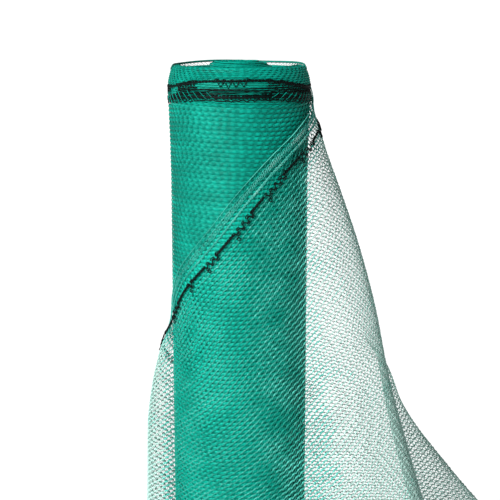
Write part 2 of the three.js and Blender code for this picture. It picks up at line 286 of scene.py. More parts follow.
class Yarns:
    """Gathers few-sided yarns into one mesh, each with a place on the map used for baking."""

    MAP_ROW = 3  # height of a row of the map, in steps along a yarn
    MAP_MARGIN = 0.06  # left free at both sides of a row, as a share of its height

    def __init__(self):
        self.points = []
        self.triangles = []
        self.tints = []
        self.corners = []
        self.lengths = []
        self.count = 0

    def add(self, path, outward, width, depth, tint=0.0, sides=3, closed=False):
        """A yarn along a path. Its depth is along the outward directions."""
        steps = len(path)
        ahead = np.roll(path, -1, axis=0) - np.roll(path, 1, axis=0)
        if not closed:
            ahead[0] = path[1] - path[0]
            ahead[-1] = path[-1] - path[-2]
        ahead = unit(ahead)
        side = unit(np.cross(ahead, outward))
        rise = np.cross(side, ahead)
        turn = math.pi * (0.5 + 2 * np.arange(sides) / sides)
        across = side[:, None] * np.broadcast_to(width, steps)[:, None, None] / 2
        up = rise[:, None] * np.broadcast_to(depth, steps)[:, None, None] / 2
        rings = path[:, None] + across * np.cos(turn)[:, None] + up * np.sin(turn)[:, None]
        self.points.append(rings.reshape(-1, 3))
        self.tints.append(np.repeat(np.broadcast_to(tint, steps), sides))
        self._cover(steps, sides, closed)
        self.count += steps * sides

    def _cover(self, steps, sides, closed):
        """Triangles of the latest yarn, and the places of their corners on the map."""
        segments = steps if closed else steps - 1
        here, corner = np.meshgrid(np.arange(segments), np.arange(sides), indexing="ij")
        here, corner = here.ravel(), corner.ravel()
        there, beside = (here + 1) % steps, (corner + 1) % sides
        ring = [here * sides + corner, there * sides + corner,
                there * sides + beside, here * sides + beside]
        # On the map a yarn lies along U, its sides stacked along V, with a cap at each end.
        place = [(here + 1, corner / sides), (here + 2, corner / sides),
                 (here + 2, (corner + 1) / sides), (here + 1, (corner + 1) / sides)]
        triangles, corners = [], []
        for picked in ((0, 1, 2), (0, 2, 3)):
            triangles.append(np.stack([ring[i] for i in picked], axis=-1))
            corners.append(np.stack([np.stack(place[i], axis=-1) for i in picked], axis=1))
        if not closed:
            turn = 2 * math.pi * np.arange(sides) / sides
            disc = 0.5 + 0.4 * np.stack([np.cos(turn), np.sin(turn)], axis=-1)
            fan = np.array([(0, i, i + 1) for i in range(1, sides - 1)])
            triangles += [fan, fan[:, ::-1] + (steps - 1) * sides]
            corners += [disc[fan], disc[fan[:, ::-1]] + (segments + 1, 0)]
        self.triangles.append(np.concatenate(triangles) + self.count)
        self.corners.append(np.concatenate(corners))
        self.lengths.append(segments + 2)

    def _map(self):
        """Yarns lie end to end on the rows of the baking map."""
        capacity = max(max(self.lengths), int(math.sqrt(self.MAP_ROW * sum(self.lengths))))
        placed, row, used = [], 0, 0
        for corners, length in zip(self.corners, self.lengths):
            if used + length > capacity:
                row, used = row + 1, 0
            shrunk = corners * (1, 1 - 2 * self.MAP_MARGIN) + (used, row + self.MAP_MARGIN)
            placed.append(shrunk)
            used += length
        return np.concatenate(placed) / (capacity, row + 1)

    def piece(self, name, material, smooth=True):
        """All the yarns as one piece, with their tints for the material."""
        triangles = np.concatenate(self.triangles)
        obj = mesh_piece(name, np.concatenate(self.points), triangles, material, smooth)
        layer = obj.data.uv_layers.new(name="OFBake")
        layer.data.foreach_set("uv", self._map().astype(np.float32).ravel())
        tint = obj.data.attributes.new("tint", "FLOAT", "POINT")
        tint.data.foreach_set("value", np.concatenate(self.tints).astype(np.float32))
        return obj


def add_object(name, data):
    """A new object in the scene."""
    obj = bpy.data.objects.new(name, data)
    bpy.context.scene.collection.objects.link(obj)
    return obj


def mesh_piece(name, points, triangles, material, smooth=True):
    """A mesh that rides with the roll."""
    mesh = bpy.data.meshes.new(name)
    mesh.vertices.add(len(points))
    mesh.vertices.foreach_set("co", (points * MM).astype(np.float32).ravel())
    mesh.loops.add(triangles.size)
    mesh.loops.foreach_set("vertex_index", triangles.astype(np.int32).ravel())
    mesh.polygons.add(len(triangles))
    mesh.polygons.foreach_set("loop_start", np.arange(0, triangles.size, 3, dtype=np.int32))
    mesh.polygons.foreach_set("use_smooth", np.full(len(triangles), smooth))
    mesh.update(calc_edges=True)
    mesh.materials.append(material)
    obj = add_object(name, mesh)
    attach(obj, "root")
    return obj


# Materials

# Places of a yarn's dark and pale colours on the scale of its tint.
DARK_UP_TO = 0.2
PALE_FROM = 0.75


def linear(red, green, blue):
    """Colour for a shader from levels of 0 to 255 as a screen shows them."""
    levels = np.array([red, green, blue]) / 255
    shown = np.where(levels <= 0.04045, levels / 12.92, ((levels + 0.055) / 1.055) ** 2.4)
    return (*shown, 1.0)


def new_material(name):
    """An empty material, its node tree and its shader."""
    material = bpy.data.materials.new(name)
    material.use_nodes = True
    return material, material.node_tree, material.node_tree.nodes["Principled BSDF"]


def set_inputs(node, values):
    """Sets constants on a node's sockets."""
    for key, value in values.items():
        node.inputs[key].default_value = value


def add_node(tree, kind, inputs=None, **settings):
    node = tree.nodes.new(kind)
    set_inputs(node, inputs or {})
    for key, value in settings.items():
        setattr(node, key, value)
    return node


def link_colour(tree, shader, value, stops):
    """Takes the colour from a value, by a ramp of at least two (position, colour) stops."""
    ramp = add_node(tree, "ShaderNodeValToRGB")
    elements = ramp.color_ramp.elements
    for element, (position, colour) in zip((elements[0], elements[1]), stops):
        element.position = position
        element.color = colour
    for position, colour in stops[2:]:
        elements.new(position).color = colour
    tree.links.new(value, ramp.inputs["Fac"])
    tree.links.new(ramp.outputs["Color"], shader.inputs["Base Color"])


def link_roughness(tree, shader, value, start, end):
    """Takes the roughness from a value of 0 to 1."""
    gloss = add_node(tree, "ShaderNodeMapRange", {"To Min": start, "To Max": end})
    tree.links.new(value, gloss.inputs["Value"])
    tree.links.new(gloss.outputs["Result"], shader.inputs["Roughness"])


def link_bump(tree, shader, value, strength, distance):
    """Raises a fine relief by a value."""
    bump = add_node(tree, "ShaderNodeBump", {"Strength": strength, "Distance": distance})
    tree.links.new(value, bump.inputs["Height"])
    tree.links.new(bump.outputs["Normal"], shader.inputs["Normal"])


def yarn_material(name, dark, light, roughness, patch_scale, specular, pale=None):
    """Drawn plastic yarn: each a little lighter or darker, with soft patches and a fine grain."""
    material, tree, shader = new_material(name)
    place = add_node(tree, "ShaderNodeTexCoord")
    tint = add_node(tree, "ShaderNodeAttribute", attribute_name="tint")
    patches = add_node(tree, "ShaderNodeTexNoise", {"Scale": patch_scale, "Detail": 3})
    tree.links.new(place.outputs["Object"], patches.inputs["Vector"])
    shift = add_node(tree, "ShaderNodeMath", operation="ADD")
    tree.links.new(patches.outputs["Fac"], shift.inputs[0])
    tree.links.new(tint.outputs["Fac"], shift.inputs[1])
    stops = [(DARK_UP_TO, dark), (1.0, light)]
    if pale:
        stops = [(DARK_UP_TO, dark), (PALE_FROM, light), (1.0, pale)]
    link_colour(tree, shader, shift.outputs["Value"], stops)
    grain = add_node(tree, "ShaderNodeTexNoise", {"Scale": 900})
    tree.links.new(place.outputs["Object"], grain.inputs["Vector"])
    link_roughness(tree, shader, grain.outputs["Fac"], roughness - 0.1, roughness + 0.1)
    link_bump(tree, shader, grain.outputs["Fac"], strength=0.25, distance=0.0002)
    set_inputs(shader, {"Specular IOR Level": specular})
    return material


def wound_material(name, dark, light):
    """The turns of net under the outermost one: blurred rows and columns of stitches."""
    material, tree, shader = new_material(name)
    wrap = add_node(tree, "ShaderNodeUVMap", uv_map="wrap")
    scale = (1 / (2 * STITCH * MM), 1 / (WALE_PITCH * MM), 1)
    stretch = add_node(tree, "ShaderNodeMapping", {"Scale": scale})
    tree.links.new(wrap.outputs["UV"], stretch.inputs["Vector"])
    noise = add_node(tree, "ShaderNodeTexNoise", {"Scale": 1.4, "Detail": 3, "Roughness": 0.6})
    tree.links.new(stretch.outputs["Vector"], noise.inputs["Vector"])
    link_colour(tree, shader, noise.outputs["Fac"], [(0.32, dark), (0.68, light)])
    link_roughness(tree, shader, noise.outputs["Fac"], 0.75, 0.5)
    link_bump(tree, shader, noise.outputs["Fac"], strength=0.5, distance=0.001)
    set_inputs(shader, {"Specular IOR Level": 0.1})
    return material


def floor_material():
    """White that glows a little, so that no shadow greys it."""
    material, _, shader = new_material("white_floor")
    set_inputs(shader, {
        "Base Color": (0.1, 0.1, 0.1, 1), "Roughness": 0.9,
        "Emission Color": (1, 1, 1, 1), "Emission Strength": 1.0,
    })
    return material


# The wound roll

# The spiral's step fades towards the foot, and partly over the end.
STEP_RISES = (2, 20)
STEP_FALLS = (491, 498)
STEP_LOST = 0.6
# The shoulder is lower round the back, under the loose edge cord.
BACK_DIP = 3.0
BACK_SINES = (0.0, 0.45)
DIP_HEIGHTS = (486, 499)

# The outermost turn's stitches, and where its rows get closer and end.
ROLL_STITCHES = 118
ROLL_LIFT = 0.25
CLOSE_ROWS_UP = 471.0
SHOULDER_OUT = -8.0
# Share of its width that a close row has, and that it has where it crosses the braid.
CLOSE_WIDTH = 0.6
BAND_WIDTH = 0.22
BAND_RAMP = 3
# Stitches step aside from row to row and repeat after a few, on a slant that turns over at the
# middle of the front.
ROWS_TO_REPEAT = 3
SLANT_FULL = 0.25
# The rows aren't quite level: slow waves that neighbouring rows share.
WANDER = [(0.7, 2, 2.4), (0.5, 3, -1.7)]
WANDER_HEIGHTS = [(4, 40), (470, 485)]
# Painted shade on the left flank, painted light on the shoulder and under the loose end in front.
FLANK_PAINTED_SHADE = -0.16
FLANK = (-0.1, 0.7)
SHOULDER_PAINTED_LIGHT = 0.2
SHOULDER_HEIGHTS = (488, 496)
COVERED_PAINTED_LIGHT = 0.7
COVERED = [(-215, -195), (-60, -30)]
COVERED_BELOW = 6
ROLL_SPREAD = {"start": 0.4, "width": 0.04, "row_tint": 0.06, "tint": 0.04}

# The black braid of the outermost turn: a chain a little above stretches of lace, given in
# degrees leftwards from the right side, and the yarns of inner turns under it.
TURN_1 = {
    "up": 490, "droop": 8, "chain": 2.2, "drop": 5.0, "lace_out": 0.45,
    "lace": [(83, 110), (160, 185), (232, 250), (300, 318)],
    "double_lace": [(4, 70), (126, 152), (195, 222), (262, 290), (328, 350)],
    "under": [-3.9, -5.2, -6.5, -7.8],
}
TURN_1_CHAIN = {"out": 0.4, "yarn": 1.0, "wave": 0.5}
TURN_1_CORD = {"out": 0.35, "yarn": 1.15, "wave": 0.35}
# The braid of the turn beneath: two crossed zigzags over a cord, and a low zigzag below them.
TURN_2 = {"up": 479.8, "droop": 5}
TURN_2_ZIGZAG = {"across": 0.2, "reach": 1.1, "out": 0.4, "yarn": 1.5}
TURN_2_CORD = {"across": 0.2, "out": 0.35, "yarn": 1.5, "wave": 0.35}
TURN_2_LOW = {"across": -2.4, "reach": 0.7, "out": 0.3, "yarn": 1.0}


def step_fade(up):
    """How much of the spiral's step shows at a height."""
    return smooth_step(up, *STEP_RISES) * (1 - STEP_LOST * smooth_step(up, *STEP_FALLS))


def back_dip(angle):
    """How much lower the end's rim is round the back."""
    return BACK_DIP * smooth_step(np.sin(np.radians(angle)), *BACK_SINES)


def shoulder_dip(angle, up):
    """How much lower the shoulder is at a height of its outline."""
    return back_dip(angle) * smooth_step(up, *DIP_HEIGHTS)


def make_core(material):
    """The turns under the outermost one, inset from its yarns and sunk a little at the end."""
    inset = 0.75
    sinks = (494, 499)
    dips = (-32, -20)
    steps = 120
    ring_gap = 12
    line = np.array([FOOT_RIM] + SIDE_OUTLINE + END_OUTLINE, float)
    fine = []
    for start, end in zip(line[:-1], line[1:]):
        pieces = max(1, int(np.linalg.norm(end - start) // ring_gap))
        fine += [start + (end - start) * i / pieces for i in range(pieces)]
    fine = np.array(fine + [line[-1]])
    angles = 360 * np.arange(steps + 1) / steps
    rings = []
    for out, up in fine:
        dip = shoulder_dip(angles, up) * smooth_step(out, *dips)
        sink = inset * smooth_step(up, *sinks)
        radius = ROLL_RADIUS + out - inset + spiral_step(angles) * step_fade(up)
        rings.append(polar(angles, radius, up - sink - dip))
    points = np.concatenate(rings + [[(0, 0, TOP_MIDDLE - inset), (0, 0, 0)]])
    around = np.arange(steps)
    across = steps + 1
    faces = []
    for ring in range(len(fine) - 1):
        low = ring * across + around
        high = low + across
        faces += [(low, low + 1, high + 1), (low, high + 1, high)]
    top = (len(fine) - 1) * across + around
    top_middle, foot_middle = (np.full(steps, len(points) - place) for place in (2, 1))
    faces += [(top_middle, top, top + 1), (foot_middle, around + 1, around)]
    triangles = np.concatenate([np.stack(face, axis=-1) for face in faces])
    obj = mesh_piece("net_core", points, triangles, material)
    done = running_length(fine)
    wrap = np.stack(np.meshgrid(np.radians(angles) * ROLL_RADIUS, done), axis=-1).reshape(-1, 2)
    wrap = np.concatenate([wrap, [(0, done[-1] + ROLL_RADIUS + line[-1, 0]), (0, -ROLL_RADIUS)]])
    layer = obj.data.uv_layers.new(name="wrap")
    layer.data.foreach_set("uv", (wrap[triangles] * MM).astype(np.float32).ravel())
    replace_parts(obj, "net_roll")


def roll_rows():
    """Outline points of the roll's rows, from the foot up, with outward and onward directions.

    By the braid and over the shoulder the net is knitted closer, its rows half as far apart.
    """
    line = np.array(SIDE_OUTLINE + END_OUTLINE, float)
    done = running_length(line)
    widest = np.argmax(line[:, 0])
    end = np.interp(-SHOULDER_OUT, -line[widest:, 0], done[widest:])
    first = 1.0
    lengths = np.concatenate([
        np.arange(first, CLOSE_ROWS_UP, WALE_PITCH), np.arange(CLOSE_ROWS_UP, end, WALE_PITCH / 2)])
    probe = 0.8
    here = along_line(lengths, done, line)
    ahead = unit(along_line(lengths + probe, done, line) - along_line(lengths - probe, done, line))
    return here, np.stack([ahead[:, 1], -ahead[:, 0]], axis=-1), ahead


def row_fullness(angle, up):
    """How much of its full width a row of the roll has: little where it crosses the braid."""
    if up < CLOSE_ROWS_UP:
        return np.ones(len(angle))
    droop = np.cos(np.radians(angle)) ** 2
    top = TURN_1["up"] + TURN_1["chain"] - TURN_1["droop"] * droop
    foot = TURN_2["up"] - TURN_2["droop"] * droop
    above = smooth_step(up, top, top + BAND_RAMP)
    below = 1 - smooth_step(up, foot - 2 * BAND_RAMP, foot - BAND_RAMP)
    return blend(BAND_WIDTH, CLOSE_WIDTH, np.maximum(above, below))


def roll_yarn_points(angle, place, facing, along, row, lean, lift):
    """Points on the roll's outermost turn, and their outward directions."""
    out, up = place
    shift = lean + slow_waves(angle, WANDER, row) * between(up, WANDER_HEIGHTS)
    raised = ROLL_LIFT + lift
    radius = ROLL_RADIUS + out + spiral_step(angle) * step_fade(up)
    radius = radius + raised * facing[0] + shift * along[0]
    height = up + raised * facing[1] + shift * along[1] - shoulder_dip(angle, up)
    return polar(angle, radius, height), polar(angle, *facing)


def stitch_profile(number, yarn):
    """Width, depth, lean and lift of a wale at its half stitches."""
    at_loop = number % 2
    width, depth = (np.where(at_loop, yarn["loop"][i], yarn["neck"][i]) for i in (0, 1))
    step = number % len(LEAN_STEPS)
    return width, depth, yarn["lean"] * LEAN_STEPS[step], yarn["lift"] * LIFT_STEPS[step]


def covered(angle, up):
    """1 where the loose end lies on the roll's front, 0 elsewhere."""
    turned = np.mod(angle, -360)
    under = smooth_step(upper_edge(turned) - up, 0, COVERED_BELOW)
    return under * between(turned, COVERED)


def make_roll_net(material):
    """The outermost turn of net: rows of flattened stitches that nearly touch."""
    places, facings, alongs = roll_rows()
    halves = 2 * ROLL_STITCHES
    number = np.arange(halves)
    level_angle = -360 * number / halves
    width, depth, lean, lift = stitch_profile(number, ROLL_YARN)
    to_left = -np.cos(np.radians(level_angle))
    lean = lean * to_left
    slant = len(LEAN_STEPS) / ROWS_TO_REPEAT * np.clip(to_left / SLANT_FULL, -1, 1)
    lift_light_and_shade = LIFT_LIGHT_AND_SHADE[number % len(LIFT_LIGHT_AND_SHADE)]
    # Painted shade: the rows get darker towards the left flank.
    flank_shade = FLANK_PAINTED_SHADE * smooth_step(to_left, *FLANK)
    rows = len(places)
    middle = rows // 2
    for name, start, stop in (("roll_net_lower", 0, middle), ("roll_net_upper", middle, rows)):
        yarns = Yarns()
        for row in range(start, stop):
            up = places[row][1]
            steps = slant * (row % ROWS_TO_REPEAT) + spread(ROLL_SPREAD["start"])
            angle = level_angle - 360 / halves * steps
            size = 1 + spread(ROLL_SPREAD["width"], halves)
            tint = spread(ROLL_SPREAD["row_tint"]) + spread(ROLL_SPREAD["tint"], halves)
            tint = tint + lift_light_and_shade + flank_shade
            # Painted light: the rows get lighter over the shoulder.
            tint = tint + SHOULDER_PAINTED_LIGHT * smooth_step(up, *SHOULDER_HEIGHTS)
            # Painted light: the rows under the loose end are lightened against its shadow.
            tint = tint + COVERED_PAINTED_LIGHT * covered(angle, up)
            full = row_fullness(angle, up)
            path, outward = roll_yarn_points(
                angle, places[row], facings[row], alongs[row], row, lean * full, lift)
            yarns.add(path, outward, width * size * full, depth, tint, closed=True)
        if stop == rows:
            add_crossing_yarns(yarns)
        yarns.piece(name, material, smooth=False)


def make_wound_end(material):
    """The edges of the inner turns, a spiral over the roll's end that slow waves heap up."""
    pitch = 1.3
    step = 1.6
    inner = 4.0
    past_shoulder = 1.0
    sink = 0.1
    heaps = [(0.55, 0.37, 0), (0.4, 1.13, 50)]
    dips = (24, 36)
    widths = (1.25, 0.7)
    depth = 1.3
    tint_spread = 0.12
    outer = ROLL_RADIUS + SHOULDER_OUT + past_shoulder
    turns = (outer - inner) / pitch
    count = int(math.pi * turns * (outer + inner) / step)
    # Even steps along a spiral: the angle grows with the root of the length.
    share = np.arange(count) / count
    radius = np.sqrt(inner ** 2 + share * (outer ** 2 - inner ** 2))
    angle = 360 * (radius - inner) / pitch
    line = np.array(END_OUTLINE[::-1], float)
    up = np.interp(radius - ROLL_RADIUS, line[:, 0], line[:, 1])
    heap = slow_waves(angle, heaps)
    dip = back_dip(angle) * smooth_step(radius, *dips)
    path = polar(angle, radius, up + heap - dip - sink)
    outward = np.tile((0.0, 0.0, 1.0), (count, 1))
    width = np.where(np.arange(count) % 2, *widths)
    yarns = Yarns()
    # Painted light: the end's spiral is lightened as the shoulder is.
    yarns.add(path, outward, width, depth, SHOULDER_PAINTED_LIGHT + spread(tint_spread, count))
    yarns.piece("wound_end", material)


def edge_cord_points(angle):
    """Points of the edge cord, which falls and spreads out at both ends, and outward directions."""
    middle_radius = 52.4
    middle_up = 500.2
    left_end = (172, 190)
    right_end = (-12, 10)
    full_fall = 3.6
    spread_out = 1.2
    waves = [(0.35, 4, 0)]
    lean = 0.6
    fall = full_fall * (smooth_step(angle, *left_end) + 1 - smooth_step(angle, *right_end))
    radius = middle_radius + spread_out * smooth_step(fall, 0, full_fall)
    up = middle_up + slow_waves(angle, waves) - fall
    return polar(angle, radius, up), polar(angle, 1, lean)


def make_edge_cord(material):
    """The outermost turn's edge cord, laced to the end's rim by a thin yarn round the back."""
    cord_angles = np.linspace(192, -14, 140)
    cord_size = (1.9, 1.7)
    lace_angles = np.arange(172, 8, -2.2)
    foot_radius = 47.5
    foot_up = 499.6
    lace_yarn = 0.4
    lace_tint = 0.1
    yarns = Yarns()
    path, outward = edge_cord_points(cord_angles)
    yarns.add(path, outward, *cord_size, sides=5)
    path, outward = edge_cord_points(lace_angles)
    low = polar(lace_angles, foot_radius, foot_up - back_dip(lace_angles))
    upper = (np.arange(len(lace_angles)) % 2 == 0)[:, None]
    yarns.add(np.where(upper, path, low), outward, lace_yarn, lace_yarn, lace_tint)
    yarns.piece("edge_cord", material)


# The black edge braid

# A chain's yarns pass over and under each other by this much.
CHAIN_DEPTH = 0.3
CHAIN_TINT_SPREAD = 0.1
# The lace under the chain: its yarn, how far its points reach up, and the half (length, height)
# of the small loops on them.
LACE = {
    "yarn": 0.95, "high": 0.3, "spread": 0.25, "upper_loop": (1.7, 1.0), "lower_loop": (1.6, 1.0),
    "loop_yarn": 0.8, "loop_depth": 0.2, "loop_spread": 0.15,
}
FREE_LOOP = {"drop": 2.4, "size": (1.0, 1.4)}
ZIGZAG_SPREAD = 0.35


class Route:
    """A line on the net's surface, from right to left, by its length."""

    def __init__(self, points, outward):
        self.points = points
        self.outward = outward
        self.lengths = running_length(points)
        self.total = self.lengths[-1]
        self.upward = unit(np.cross(np.gradient(points, axis=0), outward))

    def lay(self, yarns, length, across, out, yarn, tint=0.0, sides=4, closed=False):
        """Lays a round yarn at these lengths, moved up the surface and off it."""
        point, outward, upward = (
            along_line(length, self.lengths, line)
            for line in (self.points, self.outward, self.upward)
        )
        across, out = (np.broadcast_to(move, length.shape)[:, None] for move in (across, out))
        outward = unit(outward)
        path = point + across * unit(upward) + out * outward
        yarns.add(path, outward, yarn, yarn, tint, sides, closed)


def add_chain(yarns, route, start, end, out, yarn, wave):
    """Two yarns that cross and part again, as a row of stitches does."""
    length = np.arange(start, end, STITCH / 4)
    for phase in (0, math.pi):
        swing = math.pi * length / STITCH + phase
        off = out + CHAIN_DEPTH * np.cos(swing)
        route.lay(yarns, length, wave * np.sin(swing), off, yarn, spread(CHAIN_TINT_SPREAD))


def add_lace(yarns, route, start, end, out, drop, double=False, looped=True):
    """A stretch of lace under the chain: a zigzag with a small loop at each upper point.

    A looped one has small loops at its lower points too, and a free loop at its end. A double one
    has a second zigzag between the first one's points.
    """
    points = max(3, int((end - start) / STITCH))
    number = np.arange(points)
    length = start + STITCH * number
    fine = np.arange(0, points - 0.99, 0.25)
    for offset in (0, 1) if double else (0,):
        lower = (number + offset) % 2 == 1
        across = np.where(lower, -drop, LACE["high"]) + spread(LACE["spread"], points)
        between_points = np.interp(fine, number, across)
        route.lay(yarns, start + STITCH * fine, between_points, out, LACE["yarn"])
        for middle, point, is_lower in zip(length, across, lower):
            if looped or not is_lower:
                size = LACE["lower_loop" if is_lower else "upper_loop"]
                add_loop(yarns, route, middle, point, size, out)
    if looped:
        add_loop(yarns, route, length[-1], -drop - FREE_LOOP["drop"], FREE_LOOP["size"], out)


def add_loop(yarns, route, middle, across, size, out):
    corners = 8
    turn = np.linspace(0, 2 * math.pi, corners + 1)[:-1]
    side = np.sin(turn)
    long, high = np.array(size) * (1 + spread(LACE["loop_spread"]))
    route.lay(
        yarns, middle + long * side, across - high * np.cos(turn),
        out + LACE["loop_depth"] * side, LACE["loop_yarn"], closed=True)


def turn_route(up, droop):
    """A route once round the roll, lower at its sides than at its front and back."""
    waves = [(0.6, 5, 20)]
    angle = np.linspace(0, -360, 361)
    height = up - droop * np.cos(np.radians(angle)) ** 2 + slow_waves(angle, waves)
    radius = ROLL_RADIUS + body_curve(height) + spiral_step(angle)
    return Route(polar(angle, radius, height - shoulder_dip(angle, height)), polar(angle, 1, 0.0))


def add_crossing_yarns(yarns):
    """Short green yarns that cross the inner turn's braid, leaning as the rows' strands do.

    Each stretch is (from, to, lean), its ends in degrees leftwards from the right side.
    """
    stretches = [(12, 62, -3.0), (112, 168, 3.0)]
    full_reach = 3.6
    reach_spread = 0.2
    place_spread = 0.5
    middle_up = 1.2
    middle_out = 1.1
    bow = 0.3
    yarn = 0.42
    tint = 0.2
    route = turn_route(TURN_2["up"], TURN_2["droop"])
    degree = route.total / 360
    side = np.array([-1, 0, 1])
    out = middle_out - bow * side ** 2
    for start, end, lean in stretches:
        for middle in np.arange(start * degree, end * degree, 2 * STITCH):
            reach = full_reach * (1 + spread(reach_spread))
            length = middle + lean * side + spread(place_spread)
            route.lay(yarns, length, middle_up + reach * side, out, yarn, tint, sides=3)


def add_cord(yarns, route, across, out, yarn, wave):
    """A plain black yarn along a route, not quite level."""
    wave_radian = 9
    phase_by_place = 3
    length = np.arange(0, route.total, STITCH)
    shift = across + wave * np.sin(length / wave_radian + phase_by_place * across)
    route.lay(yarns, length, shift, out, yarn)


def add_zigzag(yarns, route, across, reach, out, yarn, phase=0):
    """A black yarn that crosses from side to side at each stitch."""
    length = np.arange(0, route.total, STITCH)
    side = np.where((np.arange(len(length)) + phase) % 2, reach, -reach)
    route.lay(yarns, length, across + side + spread(ZIGZAG_SPREAD, len(length)), out, yarn)


def make_braid_turn_1(material):
    """The outermost turn's braid: a chain with lace under it, over the yarns of inner turns."""
    route = turn_route(TURN_1["up"], TURN_1["droop"])
    chain_route = turn_route(TURN_1["up"] + TURN_1["chain"], TURN_1["droop"])
    degree = chain_route.total / 360
    yarns = Yarns()
    add_chain(yarns, chain_route, 0, chain_route.total, **TURN_1_CHAIN)
    for kind, double in (("lace", False), ("double_lace", True)):
        for start, end in TURN_1[kind]:
            add_lace(
                yarns, chain_route, start * degree, end * degree, TURN_1["lace_out"],
                TURN_1["drop"], double=double, looped=double)
    for across in TURN_1["under"]:
        add_cord(yarns, route, across, **TURN_1_CORD)
    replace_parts(yarns.piece("braid_turn_1", material), "edge_braid_turn_1")


def make_braid_turn_2(material):
    """The braid of the turn beneath, seen between the yarns of the outermost one."""
    route = turn_route(TURN_2["up"], TURN_2["droop"])
    yarns = Yarns()
    for phase in (0, 1):
        add_zigzag(yarns, route, phase=phase, **TURN_2_ZIGZAG)
    add_cord(yarns, route, **TURN_2_CORD)
    add_zigzag(yarns, route, **TURN_2_LOW)
    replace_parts(yarns.piece("braid_turn_2", material), "edge_braid_turn_2")


# The loose end

LOOSE_PIECES = 3
LOOSE_ANGLES = np.arange(FOLD_ANGLES[-1], FOLD_ANGLES[0] - 0.01, -0.5)
STITCH_ORIGIN = -40.0  # the angle that stitches are counted from
# The first row lies above the edge's curve, except near the peel. Small steps lead to the next.
EDGE_RISE = 2.65
EDGE_RISE_FADES = (0, 20)
ROW_STEPS = 15
STEEPEST = 2
HEM_UP = 1.15
HEM_YARN = (1.3, 1.2)
CORE_SIDES = (-0.12, 0.12)
INLAY_BEHIND = 0.1
# Tints vary less where the net hangs, by the share under evened.
LOOSE_SPREAD = {
    "cut": 0.8, "width": 0.12, "row_tint": 0.05, "tint": 0.12, "inlay_tint": 0.1, "evened": 0.6,
}
# The edge strip: a bright cord, two close bands of yarn, and an open gap above the braid. A band
# is (place in rows below the edge, reach up and down). Cord and bands get thin towards the left.
SELVEDGE = {"yarn": (0.75, 0.8), "tint": 0.1}
CLOSE_BANDS = [(1.5, 1.5), (3.0, 1.1)]
CLOSE_BAND = {"yarn": (0.65, 0.55), "out": 0.2, "tint": 0.3, "spread": 0.15}
OPEN_ROW = 4
BRAID_ROW = 5
BAND_THINS = (-105, -75)
BAND_LEAST = 0.5
# The braid along it: a chain, and stretches of lace as (from, to) angles.
LOOSE_CHAIN = {"out": 0.9, "yarn": 1.2, "wave": 0.7}
LOOSE_LACE = [
    (-3, -14), (-23, -41), (-52, -72), (-79, -96), (-107, -120), (-131, -136), (-150, -163),
    (-176, -192), (-203, -222),
]
LOOSE_LACE_OUT = 1.3
LOOSE_LACE_DROP = 3.0
STRAY_ANGLE = -13


def row_reach(up):
    """Level length of a row of the loose end for each radian, over LOOSE_ANGLES."""
    points = sheet_points(LOOSE_ANGLES, up)
    return np.linalg.norm(np.gradient(points[:, :2], np.radians(LOOSE_ANGLES), axis=0), axis=1)


def row_slope(up, reach):
    """Slope of a row of the loose end over LOOSE_ANGLES, falling to the left."""
    return np.gradient(up, np.radians(LOOSE_ANGLES)) / reach


def loose_row_heights():
    """Height of each row over LOOSE_ANGLES. Each lies a wale below the last, square to it.

    A wale is passed in small steps, evened out a little, so that the rows stay smooth.
    """
    rise = EDGE_RISE * (1 - smooth_step(LOOSE_ANGLES, *EDGE_RISE_FADES))
    up = upper_edge(LOOSE_ANGLES) + rise
    rows = []
    while up.max() > HEM_UP + WALE_PITCH / 2:
        rows.append(up)
        up = up.copy()
        reach = row_reach(up)
        for _ in range(ROW_STEPS):
            up -= WALE_PITCH / ROW_STEPS * np.hypot(1, row_slope(up, reach))
            up[1:-1] = (up[:-2] + 2 * up[1:-1] + up[2:]) / 4
    return np.array(rows)


class LooseRow:
    """One row of the loose end: where its stitches lie."""

    def __init__(self, up, origin_shift):
        share = 1 - np.maximum(up, 0) / upper_edge(LOOSE_ANGLES)
        cut = FOLD_ANGLES[0] + abs(spread(LOOSE_SPREAD["cut"]))
        shown = (LOOSE_ANGLES <= peel_angle(share)) & (up >= HEM_UP) & (LOOSE_ANGLES >= cut)
        self.angle = LOOSE_ANGLES[shown]
        self.up = up[shown]
        lengths = running_length(sheet_points(self.angle, self.up))
        self.length = lengths[-1]
        # Angles fall along the row, so they are turned round to look a length up.
        origin = np.interp(-STITCH_ORIGIN, -self.angle, lengths) + origin_shift
        self.lengths = lengths - origin

    def places(self, step):
        """Numbers of the steps along this row, with their angles and heights."""
        first = math.ceil(self.lengths[0] / step)
        last = math.floor(self.lengths[-1] / step)
        number = np.arange(first, last + 1)
        angle = np.interp(number * step, self.lengths, self.angle)
        return number, angle, np.interp(number * step, self.lengths, self.up)

    def height(self, angle):
        return np.interp(-angle, -self.angle, self.up)


def loose_rows():
    """Rows of the loose end from its edge down, with stitches that line up square to them."""
    at_origin = np.argmin(abs(LOOSE_ANGLES - STITCH_ORIGIN))
    shift = 0.0
    rows = []
    for up in loose_row_heights():
        rows.append(LooseRow(up, shift))
        slope = row_slope(up, row_reach(up))[at_origin]
        shift -= WALE_PITCH * np.clip(slope, -STEEPEST, STEEPEST)
    return rows


def add_sheet_yarn(yarns, angle, up, off, yarn, scale=1, tint=0.0):
    """A yarn of this (width, depth) along the loose end, a little off its middle surface."""
    normal = sheet_normals(angle, up)
    path = sheet_points(angle, up) + np.reshape(off, (-1, 1)) * normal
    width, depth = (size * scale for size in yarn)
    yarns.add(path, normal, width, depth, tint)


